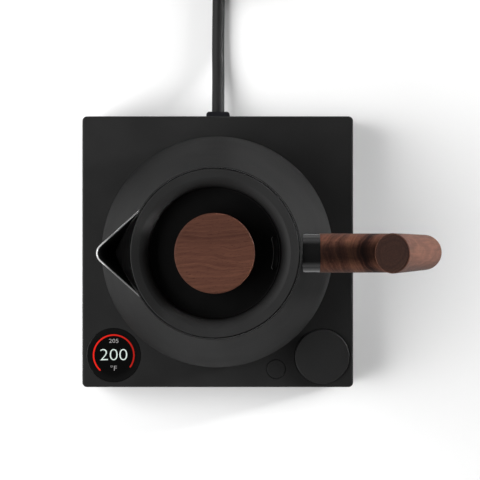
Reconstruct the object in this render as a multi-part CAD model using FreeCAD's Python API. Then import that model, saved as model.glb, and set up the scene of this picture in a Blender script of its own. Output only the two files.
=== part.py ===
"""Cordless electric kettle on a square power base, in millimetres.

Frame: origin on the table under the middle of the base, +Z up, +X towards the
kettle's handle, +Y towards the power cord. The kettle's axis is the Z axis.
Each sub-part is written to parts/NODE.step as its own closed solid or solids.
"""
import FreeCAD
import Part
import math
import os

Vec = FreeCAD.Vector
UP = Vec(0, 0, 1)

# ---------------------------------------------------------------- driving sizes
BASE_WIDTH = 171.5
BASE_TOP = 34.0
BASE_SPLIT = 5.0          # joint between the bottom cover and the top cover
BASE_UNDERSIDE = 2.0
BASE_CORNER_R = 3.0
BASE_RIM_R = 1.2          # rounding along the top face's edge
BASE_WALL = 2.4
BASE_ROOF = 2.6           # thickness of the top face

DISPLAY_AT = (-65.8, -65.5)
DISPLAY_R = 17.1
DIAL_AT = (66.0, -66.3)
DIAL_R = 17.2
DIAL_TOP = 36.4
BUTTON_AT = (36.9, -74.3)
BUTTON_R = 5.9

KETTLE_BOTTOM = 34.3      # the kettle stands 0.3 clear of the base in the model
KETTLE_R = 72.0           # widest radius, at the bottom
KETTLE_VERTICAL = 44.0    # below this height the side is upright
SIDE_BULGE_R = 210.0      # radius of the curve between upright side and cone
RIM_R = 48.7
RIM_Z = 163.0
SHEET = 0.8               # stainless steel wall
FLOOR_Z = 50.2            # underside of the boiling chamber's floor

SPOUT_REACH = 66.1
SPOUT_HALF_ANGLE = 43.1   # degrees
SPOUT_NOSE_R = 7.0
SPOUT_ROOT_X = 40.6       # where the spout's top edge leaves the rim
SPOUT_TIP_Z = 167.0
SPOUT_FOOT_Z = 122.0      # where the spout's nose runs into the side
SPOUT_SHEET = 0.8

LID_R = 47.4
LID_LEDGE_Z = 161.2
LID_FLOOR_Z = 149.0
LID_WELL_R = 37.5
KNOB_R = 22.45
KNOB_TOP = 172.0

ARM_Z = 150.0             # height of the handle's level arm
ARM_R = 11.1
FERRULE_END = 59.2
GRIP_R = 11.2             # at the top face
GRIP_FOOT_R = 10.5        # the grip tapers slightly to its foot
GRIP_TOP = (98.2, 174.0)  # x and z of the middle of the grip's top face
GRIP_BOTTOM_Z = 94.0
GRIP_LEAN = 18.5          # degrees from upright, foot outwards
GRIP_TOP_CUT = 44.0       # degrees that the top face leans towards the lid

CORD_R = 4.0
GLAND_Z = 12.0
GLAND_OUT = 4.0           # how far the gland stands out behind the base
GLAND_INSIDE = 14.0       # and how far it runs on inside
FLANGE_THICK = 2.4

HALF = BASE_WIDTH / 2
WALL_IN = HALF - BASE_WALL
ROOF_UNDER = BASE_TOP - BASE_ROOF


# ---------------------------------------------------------------- small helpers
def rod(radius, z0, z1, x=0.0, y=0.0):
    return Part.makeCylinder(radius, z1 - z0, Vec(x, y, z0))


def tube(outer, inner, z0, z1, x=0.0, y=0.0):
    return rod(outer, z0, z1, x, y).cut(rod(inner, z0 - 1, z1 + 1, x, y))


def rod_x(radius, x0, x1, z, y=0.0):
    return Part.makeCylinder(radius, x1 - x0, Vec(x0, y, z), Vec(1, 0, 0))


def rod_y(radius, y0, y1, z, x=0.0):
    return Part.makeCylinder(radius, y1 - y0, Vec(x, y0, z), Vec(0, 1, 0))


def block(x0, x1, y0, y1, z0, z1):
    return Part.makeBox(x1 - x0, y1 - y0, z1 - z0, Vec(x0, y0, z0))


def is_upright(edge):
    a, b = edge.Vertexes[0].Point, edge.Vertexes[-1].Point
    return abs(a.x - b.x) < 1e-6 and abs(a.y - b.y) < 1e-6 and abs(a.z - b.z) > 1e-6


def slab(width, depth, z0, z1, corner, x=0.0, y=0.0):
    """Upright block round (x, y) with rounded upright corners."""
    body = block(x - width / 2, x + width / 2, y - depth / 2, y + depth / 2, z0, z1)
    return body.makeFillet(corner, [e for e in body.Edges if is_upright(e)])


def round_ring_edges(shape, radius, z, size):
    """Fillets every full circle of that radius at that height."""
    found = [
        e
        for e in shape.Edges
        if isinstance(e.Curve, Part.Circle)
        and abs(e.Curve.Radius - radius) < 1e-4
        and abs(e.Curve.Center.z - z) < 1e-4
    ]
    return shape.makeFillet(size, found)


def turned(outline):
    """Solid of revolution about Z. outline lists (r, z) corners, closed by itself;
    an entry of two pairs, ((r, z) on the way, (r, z) end), is an arc."""
    def at(p):
        return Vec(p[0], 0, p[1])

    edges, here = [], outline[0]
    for step in list(outline[1:]) + [outline[0]]:
        if isinstance(step[0], tuple):
            edges.append(Part.Arc(at(here), at(step[0]), at(step[1])).toShape())
            here = step[1]
        elif step != here:
            edges.append(Part.LineSegment(at(here), at(step)).toShape())
            here = step
    return Part.Face(Part.Wire(edges)).revolve(Vec(0, 0, 0), UP, 360)


def arc_slot(r_in, r_out, half_angle, z0, z1, facing=0.0):
    """Round-ended slot on a circle about Z, centred on that direction in degrees."""
    middle, half = (r_in + r_out) / 2, (r_out - r_in) / 2
    profile = Part.Face(Part.Wire([
        Part.LineSegment(Vec(r_in, 0, z0), Vec(r_out, 0, z0)).toShape(),
        Part.LineSegment(Vec(r_out, 0, z0), Vec(r_out, 0, z1)).toShape(),
        Part.LineSegment(Vec(r_out, 0, z1), Vec(r_in, 0, z1)).toShape(),
        Part.LineSegment(Vec(r_in, 0, z1), Vec(r_in, 0, z0)).toShape(),
    ]))
    slot = profile.revolve(Vec(0, 0, 0), UP, 2 * half_angle)
    for angle in (0, 2 * half_angle):
        t = math.radians(angle)
        slot = slot.fuse(rod(half, z0, z1, middle * math.cos(t), middle * math.sin(t)))
    slot.rotate(Vec(0, 0, 0), UP, facing - half_angle)
    return slot.removeSplitter()


def route_wire(points):
    """Straight runs joined by tangent arcs, each as large as its two runs allow."""
    points = [Vec(*p) for p in points]
    edges, start, radii = [], points[0], []
    for before, corner, after in zip(points, points[1:], points[2:]):
        back, ahead = before - corner, after - corner
        cut = 0.45 * min(back.Length, ahead.Length)
        turn = math.pi - back.getAngle(ahead)
        radius = cut / math.tan(turn / 2)
        radii.append(radius)
        back.normalize()
        ahead.normalize()
        first, last = corner + back * cut, corner + ahead * cut
        inward = back + ahead
        inward.normalize()
        sagitta = radius / math.cos(turn / 2) - radius
        edges.append(Part.LineSegment(start, first).toShape())
        edges.append(Part.Arc(first, corner + inward * sagitta, last).toShape())
        start = last
    edges.append(Part.LineSegment(start, points[-1]).toShape())
    return Part.Wire(edges), radii


def swept(points, radius):
    """Round tube of that radius along the route."""
    path, radii = route_wire(points)
    first = Vec(*points[1]) - Vec(*points[0])
    ring = Part.Wire(Part.Circle(Vec(*points[0]), first, radius).toShape())
    return path.makePipeShell([ring], True, False), path, radii


def wire_run(points, radius):
    return swept(points, radius)[0]


def several(shapes):
    return Part.makeCompound(list(shapes))


def screw(x, y, z_head, z_tip, head_r=2.9, shank_r=1.45, head_h=1.7):
    """Pan-head screw pointing up, its head's flat at z_head, with a cross recess."""
    head = rod(head_r, z_head, z_head + head_h, x, y)
    shank = rod(shank_r, z_head + head_h, z_tip, x, y)
    recess = block(x - 1.5, x + 1.5, y - 0.35, y + 0.35, z_head - 1, z_head + 0.9)
    recess = recess.fuse(block(x - 0.35, x + 0.35, y - 1.5, y + 1.5, z_head - 1, z_head + 0.9))
    return head.fuse(shank).removeSplitter().cut(recess)


def around(count, radius, start=0.0):
    """Evenly spaced points on a circle about Z."""
    for i in range(count):
        t = math.radians(start + 360.0 * i / count)
        yield radius * math.cos(t), radius * math.sin(t)


def save(name, shape):
    for solid in shape.Solids:
        if not solid.isValid() or solid.Volume <= 0:
            raise RuntimeError(name + " holds a solid that is not valid")
    if not shape.Solids:
        raise RuntimeError(name + " holds no solid")
    clean = shape.Solids[0] if len(shape.Solids) == 1 else several(shape.Solids)
    clean.exportStep("parts/" + name + ".step")
    print(name, len(shape.Solids), "solid(s)", round(sum(s.Volume for s in shape.Solids), 1))


# ---------------------------------------------------------------- kettle's side
def side_tangent():
    """Angle from upright of the conical side, where it leaves the bulge's circle."""
    dr, dz = RIM_R - (KETTLE_R - SIDE_BULGE_R), RIM_Z - KETTLE_VERTICAL
    return math.atan2(dz, dr) - math.acos(SIDE_BULGE_R / math.hypot(dr, dz))


SIDE_ANGLE = side_tangent()
CONE_START = KETTLE_VERTICAL + SIDE_BULGE_R * math.sin(SIDE_ANGLE)


def side_radius(z, inset=0.0):
    """Radius of the kettle's side at a height, inset by a wall thickness."""
    bulge = SIDE_BULGE_R - inset
    join = KETTLE_VERTICAL + bulge * math.sin(SIDE_ANGLE)
    if z <= KETTLE_VERTICAL:
        return KETTLE_R - inset
    if z <= join:
        return KETTLE_R - SIDE_BULGE_R + math.sqrt(bulge ** 2 - (z - KETTLE_VERTICAL) ** 2)
    at_join = KETTLE_R - SIDE_BULGE_R + bulge * math.cos(SIDE_ANGLE)
    return at_join - (z - join) * math.tan(SIDE_ANGLE)


def side_curve(inset, top_z):
    """Outline entries up the side: the bulge's arc, then the cone up to top_z."""
    bulge = SIDE_BULGE_R - inset
    join = KETTLE_VERTICAL + bulge * math.sin(SIDE_ANGLE)
    middle = KETTLE_VERTICAL + bulge * math.sin(SIDE_ANGLE / 2)
    arc = ((side_radius(middle, inset), middle), (side_radius(join, inset), join))
    return [arc, (side_radius(top_z, inset), top_z)]


EDGE_R = 3.4              # rounded bottom edge of the kettle
MOUTH_R = 47.9            # the lid's flange drops into this
LEDGE_R = 46.7            # and rests on this ledge
LEDGE_FOOT = 157.0


def side_solid(top_z=RIM_Z):
    """The whole space inside the kettle's outer surface."""
    corner = EDGE_R * (1 - math.sqrt(0.5))
    start = (KETTLE_R, KETTLE_BOTTOM + EDGE_R)
    edge = ((KETTLE_R - corner, KETTLE_BOTTOM + corner), start)
    outline = [(0, KETTLE_BOTTOM), (KETTLE_R - EDGE_R, KETTLE_BOTTOM), edge]
    outline += [(KETTLE_R, KETTLE_VERTICAL)] + side_curve(0.0, top_z) + [(0, top_z)]
    return turned(outline)


def hollow_solid():
    """The space inside the sheet, with the lid's seat at the mouth."""
    inner_edge = EDGE_R - SHEET
    corner = inner_edge * (1 - math.sqrt(0.5))
    wall = KETTLE_R - SHEET
    hem_z = 154.0         # the hem that makes the ledge fairs into the cone here
    outline = [
        (0, KETTLE_BOTTOM - 1), (wall - inner_edge, KETTLE_BOTTOM - 1),
        (wall - inner_edge, KETTLE_BOTTOM + SHEET),
        ((wall - corner, KETTLE_BOTTOM + SHEET + corner), (wall, KETTLE_BOTTOM + EDGE_R)),
        (wall, KETTLE_VERTICAL),
    ]
    outline += side_curve(SHEET, hem_z)
    outline += [
        (LEDGE_R, LEDGE_FOOT), (LEDGE_R, LID_LEDGE_Z), (MOUTH_R, LID_LEDGE_Z),
        (MOUTH_R, RIM_Z + 1), (0, RIM_Z + 1),
    ]
    return turned(outline)


# ---------------------------------------------------------------- spout
def spout_section(reach, nose_r, z):
    """V-shaped outline with a round nose at x = -reach, closed inside the kettle."""
    a = math.radians(SPOUT_HALF_ANGLE)
    centre_x = -reach + nose_r
    touch = (centre_x - nose_r * math.sin(a), nose_r * math.cos(a))
    back_x = -30.0
    back_y = touch[1] + (back_x - touch[0]) * math.tan(a)
    corners = [Vec(touch[0], touch[1], z), Vec(back_x, back_y, z),
               Vec(back_x, -back_y, z), Vec(touch[0], -touch[1], z)]
    edges = [Part.LineSegment(p, q).toShape() for p, q in zip(corners, corners[1:])]
    edges.append(Part.Arc(corners[-1], Vec(-reach, 0, z), corners[0]).toShape())
    return Part.Wire(edges)


def spout_body(inset):
    """Tapering V prism; inset moves its sides and nose in by the sheet's thickness."""
    foot_reach = side_radius(SPOUT_FOOT_Z)
    slope = (SPOUT_REACH - foot_reach) / (SPOUT_TIP_Z - SPOUT_FOOT_Z)
    foot_nose_r = 3.0
    above = 8.0           # the loft runs on above the tip and is trimmed by a plane
    top_z, top_reach = SPOUT_TIP_Z + above, SPOUT_REACH + slope * above
    sections = [
        spout_section(foot_reach - inset, foot_nose_r - inset, SPOUT_FOOT_Z),
        spout_section(top_reach - inset, SPOUT_NOSE_R - inset, top_z),
    ]
    body = Part.makeLoft(sections, True, True)
    rise = (SPOUT_TIP_Z - RIM_Z) / (SPOUT_REACH - SPOUT_ROOT_X)
    far, high = 90.0, 80.0
    outline = [Vec(-far, -60, RIM_Z + rise * (far - SPOUT_ROOT_X)), Vec(-SPOUT_ROOT_X, -60, RIM_Z),
               Vec(0, -60, RIM_Z), Vec(0, -60, RIM_Z + high), Vec(-far, -60, RIM_Z + high)]
    waste = Part.Face(Part.makePolygon(outline + [outline[0]])).extrude(Vec(0, 120, 0))
    return body.cut(waste)


def make_kettle_shell():
    shell = side_solid().cut(hollow_solid()).cut(spout_body(SPOUT_SHEET))
    save("kettle_shell", shell.removeSplitter())


def make_spout():
    sheet = spout_body(0.0).cut(spout_body(SPOUT_SHEET)).cut(side_solid(RIM_Z + 20))
    save("pouring_spout", sheet)


# ---------------------------------------------------------------- kettle's underside
PROBE_AT = (24.0, 0.0)
CUTOUT_AT = (-26.0, 0.0)
PLATE_Z = 47.4
ELEMENT_R = 42.0
ELEMENT_TUBE_R = 3.3
COVER_TOP = 36.9
COVER_UNDER = 35.2
COVER_SCREWS = list(around(3, 60.0, 90.0))


def make_kettle_floor():
    outer = side_radius(FLOOR_Z + SHEET, SHEET) - 0.02
    inner = outer - 1.2
    rim = turned([(inner, FLOOR_Z - 4), (outer, FLOOR_Z - 4), (outer, FLOOR_Z + SHEET),
                  (0, FLOOR_Z + SHEET), (0, FLOOR_Z), (inner, FLOOR_Z)])
    hole = rod(4.1, FLOOR_Z - 1, FLOOR_Z + 2, *PROBE_AT)
    save("kettle_floor", rim.cut(hole))


def make_heat_plate():
    plate = rod(64.0, PLATE_Z, FLOOR_Z - 0.05)
    for x, y in COVER_SCREWS:
        plate = plate.fuse(rod(3.4, 41.6, PLATE_Z + 0.5, x, y)).cut(rod(1.5, 41, 46.5, x, y))
    save("heat_plate", plate.cut(rod(4.6, PLATE_Z - 1, FLOOR_Z + 1, *PROBE_AT)).removeSplitter())


def make_heating_element():
    z = PLATE_Z - ELEMENT_TUBE_R - 0.05
    ring = Part.Wire(Part.Circle(Vec(ELEMENT_R, 0, z), Vec(0, 1, 0), ELEMENT_TUBE_R).toShape())
    gap = 24.0            # degrees on each side of the two ends
    loop = Part.Face(ring).revolve(Vec(0, 0, 0), UP, 360 - 2 * gap)
    loop.rotate(Vec(0, 0, 0), UP, gap)
    for angle in (gap + 3, -gap - 3):
        t = math.radians(angle)
        loop = loop.fuse(rod(1.3, 39.4, z, ELEMENT_R * math.cos(t), ELEMENT_R * math.sin(t)))
    save("heating_element", loop)


def make_temperature_probe():
    x, y = PROBE_AT
    body = rod(4.0, 40.0, 57.0, x, y).fuse(rod(6.2, FLOOR_Z + SHEET, FLOOR_Z + SHEET + 1.0, x, y))
    body = body.fuse(Part.makeSphere(4.0, Vec(x, y, 57.0)))
    save("temperature_probe", body.removeSplitter())


def make_thermal_cutout():
    x, y = CUTOUT_AT
    body = rod(8.0, 41.5, PLATE_Z - 0.05, x, y)
    for side in (-1, 1):
        body = body.fuse(block(x - 0.4, x + 0.4, y + side * 9 - 3, y + side * 9 + 3, 42.2, 43.0))
    save("thermal_cutout", body.removeSplitter())


def make_bottom_cover():
    edge = KETTLE_R - EDGE_R - 0.3
    plate = tube(edge, 17.1, COVER_UNDER, COVER_TOP)
    cover = plate.fuse(tube(edge, edge - 1.8, COVER_UNDER, 41.2))
    for x, y in COVER_SCREWS:
        cover = cover.fuse(rod(5.0, COVER_UNDER, 41.5, x, y))
    for x, y in COVER_SCREWS:
        cover = cover.cut(rod(3.2, COVER_UNDER - 1, 38.3, x, y)).cut(rod(1.7, 30, 45, x, y))
    for r in (27.0, 40.0, 50.0):
        cover = cover.cut(tube(r + 0.8, r, COVER_UNDER - 1, COVER_UNDER + 0.5))
    save("bottom_cover", cover.removeSplitter())
    save("bottom_cover_screws", several(screw(x, y, 36.5, 46.0) for x, y in COVER_SCREWS))


def make_element_leads():
    """Insulated leads from the element's two ends and the cut-out to beside the coupler."""
    z = 39.7
    leads = []
    for side in (-1, 1):
        t = math.radians(27.0 * side)
        x, y = (ELEMENT_R - 3.2) * math.cos(t), (ELEMENT_R - 3.2) * math.sin(t)
        leads.append(wire_run([(x, y, z + 0.6), (30, side * 12, z), (21, side * 13, z - 0.2),
                               (15.5, side * 15.5, z)], 1.1))
    leads.append(wire_run([(-26, 10, 40.9), (-24, 16, 39.9), (-17, 17, z), (-12, 18, z)], 1.1))
    save("element_leads", several(leads))


def make_coupler():
    """Upper half of the round cordless coupler; it turns freely on the base's socket."""
    body = rod(16.5, 34.6, 43.5).fuse(rod(14.6, 43.5, 46.8)).fuse(rod(19.8, 37.3, 38.2))
    body = body.cut(rod(12.6, 34, 44.8))
    body = body.cut(rod(2.4, 44, 46.0)).cut(tube(7.7, 7.0, 44, 46.0))
    save("coupler_housing", body.removeSplitter())
    pin = rod(2.4, 35.6, 46.0)
    save("coupler_centre_pin", round_ring_edges(pin, 2.4, 35.6, 1.0))
    save("coupler_ring_contact", tube(7.7, 7.0, 36.0, 46.0))


# ---------------------------------------------------------------- handle
def make_handle():
    ferrule = rod_x(ARM_R + 0.1, 40, FERRULE_END, ARM_Z).cut(rod_x(ARM_R - 1.6, 30, 70, ARM_Z))
    outside = side_solid(RIM_Z + 20)
    save("handle_ferrule", ferrule.cut(outside))

    bore_r, bore_end = 3.1, 58.6
    mount = rod_x(8.4, 40, bore_end, ARM_Z).cut(outside).cut(rod_x(bore_r, 55, 60, ARM_Z))
    save("handle_mount", mount)
    save("handle_stud", rod_x(3.0, 55.2, 90.0, ARM_Z))
    insert = rod_x(5.0, 62.0, 86.0, ARM_Z).cut(rod_x(3.05, 60, 90, ARM_Z))
    save("handle_insert", insert)

    lean = math.radians(GRIP_LEAN)
    down = Vec(math.sin(lean), 0, -math.cos(lean))
    top = Vec(GRIP_TOP[0], 0, GRIP_TOP[1])
    above = 25.0          # blank wood beyond the top face, cut off again
    length = (GRIP_TOP[1] - GRIP_BOTTOM_Z) / math.cos(lean)
    taper = (GRIP_R - GRIP_FOOT_R) / length
    blank = length + above + 10.0
    top_r = GRIP_R + taper * above
    grip = Part.makeCone(top_r, top_r - taper * blank, blank, top - down * above, down)
    grip = grip.cut(block(0, 260, -60, 60, -40, GRIP_BOTTOM_Z))
    cut = math.radians(GRIP_TOP_CUT)
    cutter = block(-60, 60, -60, 60, 0, 60)
    cutter.rotate(Vec(0, 0, 0), Vec(0, 1, 0), -math.degrees(cut))
    cutter.translate(top)
    grip = grip.cut(cutter)
    grip = grip.fuse(rod_x(ARM_R, FERRULE_END, GRIP_TOP[0] + 5.0, ARM_Z)).removeSplitter()
    low = [e for e in grip.Edges if all(abs(v.Z - GRIP_BOTTOM_Z) < 1e-3 for v in e.Vertexes)]
    grip = grip.makeFillet(4.5, low)
    high = [e for e in grip.Edges if e.BoundBox.ZMin > ARM_Z + 13]
    grip = grip.makeFillet(0.9, high)
    grip = grip.cut(rod_x(3.05, 50, 92, ARM_Z)).cut(rod_x(5.05, 50, 86.1, ARM_Z))
    save("handle_grip", grip)


# ---------------------------------------------------------------- lid
GASKET_Z = (154.6, 158.4)
GASKET_R = 46.4
LID_PLUG_R = 46.0
LID_UNDER = 147.0
VENT = dict(r_in=33.2, r_out=35.8, half_angle=13.5)


def on_vent_edge(edge):
    """Whether an edge of the lid is on the vent slot's upper outline."""
    box = edge.BoundBox
    level = abs(box.ZMin - LID_FLOOR_Z) < 1e-3 and abs(box.ZMax - LID_FLOOR_Z) < 1e-3
    return level and box.XMin > 30.0 and box.XMax < VENT["r_out"] + 0.01


def make_lid():
    shoulder = 42.6       # the top face rolls over into the well inside this radius
    cover = turned([
        (0, LID_FLOOR_Z), (LID_WELL_R - 1.2, LID_FLOOR_Z),
        ((LID_WELL_R - 0.35, LID_FLOOR_Z + 0.35), (LID_WELL_R, LID_FLOOR_Z + 1.2)),
        (LID_WELL_R, 155.0),
        ((LID_WELL_R + 1.4, 159.6), (shoulder, 162.3)),
        (LID_R - 0.5, RIM_Z + 0.1),
        ((LID_R - 0.12, RIM_Z - 0.06), (LID_R, RIM_Z - 0.5)),
        (LID_R, LID_LEDGE_Z + 0.1), (LID_PLUG_R, LID_LEDGE_Z + 0.1),
        (LID_PLUG_R, GASKET_Z[1]), (44.4, GASKET_Z[1]), (44.4, GASKET_Z[0]), (LID_PLUG_R, GASKET_Z[0]),
        (LID_PLUG_R, LID_UNDER), (42.9, LID_UNDER), (42.9, 157.6), (41.2, 156.8),
        (39.0, 153.4), (39.0, LID_UNDER), (0, LID_UNDER),
    ])
    cover = cover.cut(arc_slot(z0=LID_UNDER - 1, z1=LID_FLOOR_Z + 1, **VENT))
    lip = [e for e in cover.Edges if on_vent_edge(e)]
    cover = cover.makeChamfer(0.3, lip)
    save("lid_cover", cover.cut(rod(2.3, LID_UNDER - 1, LID_FLOOR_Z + 1)))

    baffle = arc_slot(VENT["r_in"] - 1.5, VENT["r_out"] + 1.5, 17.0, 144.8, 145.8)
    for angle in (-17.0, 17.0):
        t = math.radians(angle)
        baffle = baffle.fuse(rod(1.0, 145.5, LID_UNDER - 0.02, 34.5 * math.cos(t), 34.5 * math.sin(t)))
    save("vent_baffle", baffle.removeSplitter())

    save("lid_gasket", turned([
        (44.45, GASKET_Z[0] + 0.05), (LID_PLUG_R, GASKET_Z[0] + 0.05), (GASKET_R, GASKET_Z[0] + 1.2),
        (LID_PLUG_R, 156.5), (GASKET_R, GASKET_Z[1] - 1.2), (LID_PLUG_R, GASKET_Z[1] - 0.05),
        (44.45, GASKET_Z[1] - 0.05),
    ]))

    plate = turned([(0, 142.6), (44.2, 142.6), ((45.4, 143.1), (45.9, 144.3)), (45.9, LID_UNDER - 0.05),
                    (45.2, LID_UNDER - 0.05), (45.2, 144.4), ((44.9, 143.6), (44.1, 143.3)), (0, 143.3)])
    plate = plate.cut(rod(4.6, 142, 144))
    for angle in range(140, 221, 16):
        t = math.radians(angle)
        plate = plate.cut(rod(1.8, 142, 144, 34 * math.cos(t), 34 * math.sin(t)))
    save("lid_inner_plate", plate)

    knob = rod(KNOB_R, LID_FLOOR_Z + 0.02, KNOB_TOP)
    knob = round_ring_edges(knob, KNOB_R, KNOB_TOP, 0.8)
    knob = round_ring_edges(knob, KNOB_R, LID_FLOOR_Z + 0.02, 0.4)
    save("lid_knob", knob.cut(rod(4.1, LID_FLOOR_Z - 1, 162.0)))
    save("knob_insert", tube(4.0, 2.05, LID_FLOOR_Z + 0.1, 161.8))
    save("knob_screw", screw(0, 0, 144.0, 159.5, head_r=4.2, shank_r=2.0, head_h=2.95))


# ---------------------------------------------------------------- power base, outside
BASE_SCREWS = [(sx * 76.0, sy * 40.0) for sx in (-1, 1) for sy in (-1, 1)]
SOCKET_R = 15.0
POWER_BOARD = dict(x=(-66.0, 66.0), y=(26.0, 62.0), z=12.0)
CONTROL_BOARD = dict(x=(-80.0, 80.0), y=(-81.5, -52.0), z=19.0)
BOARD_THICK = 1.6
TERMINAL_Y = 34.0
POWER_POSTS = [(-61.0, 31.0), (61.0, 31.0), (-61.0, 57.0), (61.0, 57.0)]
CONTROL_POSTS = [(-44.0, -57.0), (20.0, -57.0), (-44.0, -77.0), (20.0, -77.0)]
FOOT_R = (66.0, 74.0)


def make_base_top():
    body = slab(BASE_WIDTH, BASE_WIDTH, BASE_SPLIT + 0.2, BASE_TOP, BASE_CORNER_R)
    rim = [e for e in body.Edges if e.BoundBox.ZMin > BASE_TOP - 1e-3]
    body = body.makeFillet(BASE_RIM_R, rim)
    inner = BASE_WIDTH - 2 * BASE_WALL
    body = body.cut(slab(inner, inner, 0, ROOF_UNDER, 1.4))
    body = body.cut(rod(SOCKET_R + 0.1, 20, BASE_TOP + 1))
    body = body.cut(rod(DISPLAY_R + 0.15, BASE_TOP - 1.6, BASE_TOP + 1, *DISPLAY_AT))
    body = body.cut(rod(15.4, 20, BASE_TOP, *DISPLAY_AT))
    body = body.cut(rod(DIAL_R + 0.45, BASE_TOP - 1.6, BASE_TOP + 1, *DIAL_AT))
    body = body.cut(rod(3.9, 20, BASE_TOP, *DIAL_AT))
    body = body.cut(rod(BUTTON_R + 0.3, 20, BASE_TOP + 1, *BUTTON_AT))
    posts = [rod(4.0, BASE_SPLIT + 1.2, ROOF_UNDER + 0.5, x, y) for x, y in BASE_SCREWS]
    body = body.fuse(posts)
    for x, y in BASE_SCREWS:
        body = body.cut(rod(1.5, 0, 20, x, y))
    body = body.cut(rod_y(6.7, WALL_IN - 2, HALF + 1, GLAND_Z))
    save("base_top_cover", body.removeSplitter())


def make_base_bottom():
    body = slab(BASE_WIDTH - 0.6, BASE_WIDTH - 0.6, BASE_UNDERSIDE, BASE_SPLIT, BASE_CORNER_R)
    under = [e for e in body.Edges if e.BoundBox.ZMax < BASE_UNDERSIDE + 1e-3]
    body = body.makeFillet(1.0, under)
    lip = 2 * WALL_IN - 0.6
    body = body.fuse(slab(lip, lip, BASE_SPLIT - 0.5, 9.0, 1.2).cut(
        slab(lip - 3.2, lip - 3.2, 0, 10, 1.0)))
    for x, y in BASE_SCREWS:
        body = body.fuse(rod(4.6, BASE_SPLIT - 0.5, BASE_SPLIT + 1.0, x, y))
        body = body.cut(rod(3.2, 0, BASE_UNDERSIDE + 2.1, x, y)).cut(rod(1.7, 0, 10, x, y))
    for (x, y), top in [(p, POWER_BOARD["z"]) for p in POWER_POSTS] + [
            (p, CONTROL_BOARD["z"]) for p in CONTROL_POSTS]:
        body = body.fuse(rod(3.2, BASE_SPLIT - 0.5, top - 0.05, x, y)).cut(rod(1.1, 6, 20, x, y))
    body = body.cut(tube(FOOT_R[1], FOOT_R[0], 0, BASE_UNDERSIDE + 1.0))
    for i in range(7):    # cooling slots beneath the power board
        x = -30.0 + 10.0 * i
        body = body.cut(block(x - 1.25, x + 1.25, 40, 60, 0, 6))
    body = body.cut(block(-9.7, 9.7, WALL_IN - 4, HALF + 1, BASE_SPLIT, 12))
    label = block(-34, 34, -48, -12, 0, BASE_UNDERSIDE + 0.4)
    save("base_bottom_cover", body.cut(label).removeSplitter())
    save("base_screws", several(screw(x, y, BASE_UNDERSIDE + 0.35, 18.0) for x, y in BASE_SCREWS))
    save("rating_label", block(-33.8, 33.8, -47.8, -12.2, BASE_UNDERSIDE + 0.1, BASE_UNDERSIDE + 0.4))
    ring = tube(FOOT_R[1] - 0.1, FOOT_R[0] + 0.1, 0, BASE_UNDERSIDE + 0.95)
    for radius in (FOOT_R[0] + 0.1, FOOT_R[1] - 0.1):
        ring = round_ring_edges(ring, radius, 0, 0.8)
    save("foot_ring", ring)


def make_display():
    lens = rod(DISPLAY_R, BASE_TOP - 1.55, BASE_TOP - 0.05, *DISPLAY_AT)
    save("display_lens", round_ring_edges(lens, DISPLAY_R, BASE_TOP - 0.05, 0.25))
    panel = rod(15.2, 30.0, BASE_TOP - 1.6, *DISPLAY_AT)
    save("display_panel", panel)
    x, y = DISPLAY_AT
    frame = tube(15.2, 13.4, CONTROL_BOARD["z"] + BOARD_THICK, 29.95, x, y)
    frame = frame.fuse(rod(15.2, 28.4, 29.95, x, y))
    save("display_frame", frame.removeSplitter())


def make_controls():
    x, y = DIAL_AT
    knob = rod(DIAL_R, BASE_TOP - 0.6, DIAL_TOP, x, y)
    knob = round_ring_edges(knob, DIAL_R, DIAL_TOP, 0.7)
    knob = knob.cut(rod(DIAL_R - 1.6, BASE_TOP - 1, DIAL_TOP - 1.5, x, y))
    knob = knob.fuse(tube(5.2, 3.02, BASE_TOP - 0.6, DIAL_TOP - 1.4, x, y))
    save("dial_knob", knob.removeSplitter())
    board_top = CONTROL_BOARD["z"] + BOARD_THICK
    shaft = rod(3.0, 28.8, DIAL_TOP - 1.6, x, y)
    save("encoder_shaft", shaft)
    body = block(x - 6.5, x + 6.5, y - 6.5, y + 6.5, board_top, 27.0)
    body = body.fuse(rod(4.4, 27.0, 31.0, x, y)).cut(rod(3.3, 24.0, 32, x, y))
    save("dial_encoder", body.removeSplitter())

    x, y = BUTTON_AT
    cap = rod(BUTTON_R, 29.4, BASE_TOP, x, y)
    cap = round_ring_edges(cap, BUTTON_R, BASE_TOP, 0.35)
    cap = cap.fuse(rod(7.4, 29.4, 30.9, x, y)).removeSplitter()
    save("select_button", cap)
    switch = block(x - 3, x + 3, y - 3, y + 3, board_top, 26.6).fuse(rod(1.7, 26.6, 28.5, x, y))
    save("button_switch", switch.removeSplitter())


def make_socket():
    """Lower half of the cordless coupler, standing through the middle of the seat."""
    tower_r, tower_top = 11.8, 43.4
    body = rod(SOCKET_R, 17.0, BASE_TOP - 0.3).fuse(rod(19.5, 28.8, ROOF_UNDER - 0.05))
    body = body.fuse(rod(tower_r, BASE_TOP - 0.5, tower_top)).removeSplitter()
    body = round_ring_edges(body, tower_r, tower_top, 1.2)
    body = body.cut(rod(3.4, 26, 50)).cut(tube(8.7, 6.3, 26, 50))
    save("base_socket", body)
    centre = tube(3.38, 2.85, 27.0, 34.0)
    ring = tube(8.68, 8.1, 27.0, 34.0)
    save("socket_contacts", several([centre, ring]))


# ---------------------------------------------------------------- power base, inside
def terminal_x(i):
    return -16.0 + 8.0 * i


def board(spec, holes):
    (x0, x1), (y0, y1), z = spec["x"], spec["y"], spec["z"]
    plate = block(x0, x1, y0, y1, z, z + BOARD_THICK)
    for x, y in holes:
        plate = plate.cut(rod(1.3, z - 1, z + 3, x, y))
    return plate


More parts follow.
